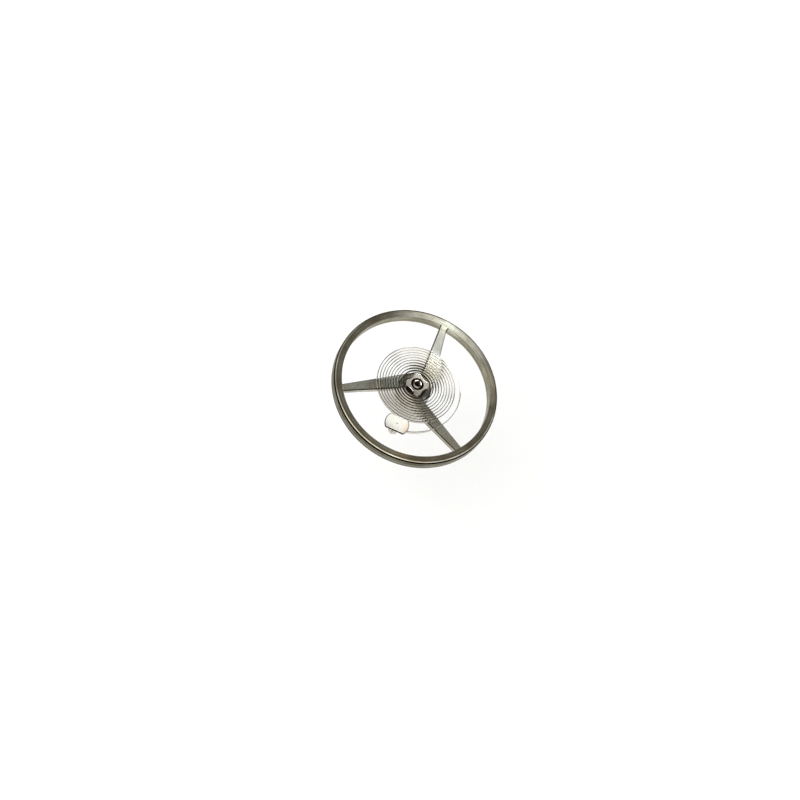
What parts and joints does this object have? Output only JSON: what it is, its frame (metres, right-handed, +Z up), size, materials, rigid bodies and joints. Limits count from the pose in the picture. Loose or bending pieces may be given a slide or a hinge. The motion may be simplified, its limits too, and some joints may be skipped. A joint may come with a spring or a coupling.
{
  "type": "balance wheel assembly",
  "caption": "Balance wheel of a mechanical watch on its staff, with collet, flat spiral hairspring, stud, double roller and impulse jewel; the wheel swings about the staff.",
  "frame": {"origin": "tip of the lower pivot, on the staff's axis", "axes": "+Z up the staff, from the lower pivot to the upper pivot; the stud lies towards -Y"},
  "size_m": [0.01, 0.01, 0.003],
  "materials": {
    "wheel_alloy": "satin",
    "staff_steel": "polished",
    "roller_metal": "satin",
    "ruby": "polished",
    "shellac": "gloss",
    "collet_metal": "satin",
    "spring_alloy": "satin",
    "stud_metal": "polished",
    "cement": "gloss"
  },
  "bodies": {
    "stud": {"stud": "stud_metal", "stud_cement": "cement", "hairspring": "spring_alloy"},
    "balance": {"balance_wheel": "wheel_alloy", "balance_staff": "staff_steel", "double_roller": "roller_metal", "impulse_jewel": "ruby", "jewel_shellac": "shellac", "collet": "collet_metal"}
  },
  "joints": [
    {"name": "balance_swing", "type": "hinge", "parent": "stud", "child": "balance", "pos_m": [0, 0, 0], "axis": [0, 0, 1], "range_deg": [-300, 300], "stiffness_Nm_per_rad": 0.00000125, "deforming": ["hairspring"]}
  ]
}
